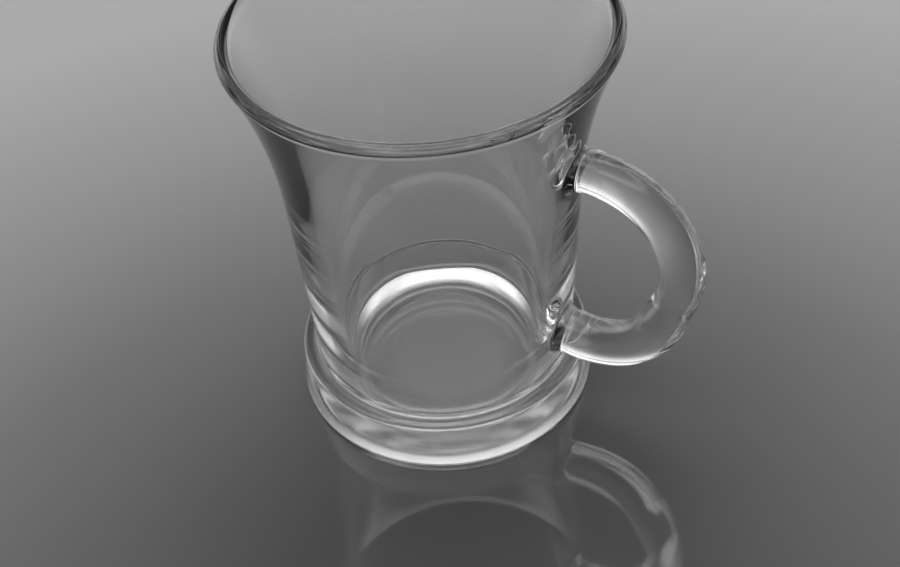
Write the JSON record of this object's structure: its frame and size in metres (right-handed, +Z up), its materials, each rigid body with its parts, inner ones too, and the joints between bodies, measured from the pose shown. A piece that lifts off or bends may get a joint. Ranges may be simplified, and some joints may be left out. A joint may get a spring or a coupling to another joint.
{
  "type": "glass mug",
  "caption": "Heavy clear glass mug: bell-mouthed bowl bedded in a thick round foot, with an ear-shaped handle of round glass bar welded on at both ends.",
  "frame": {"origin": "middle of the foot's flat underside, on the axis of the bowl", "axes": "+Z up along the axis of the bowl, out of its mouth; +X from that axis towards the handle"},
  "size_m": [0.1141, 0.0906, 0.106],
  "materials": {
    "bowl_glass": "polished clear glass with faint moulding waves",
    "foot_glass": "polished clear glass, thick",
    "handle_glass": "fire-polished clear glass bar",
    "weld_glass": "clear glass, creased where it was pressed on hot"
  },
  "bodies": {
    "root": {"bowl": "bowl_glass", "foot": "foot_glass", "handle": "handle_glass", "upper_weld": "weld_glass", "lower_weld": "weld_glass"}
  },
  "joints": []
}
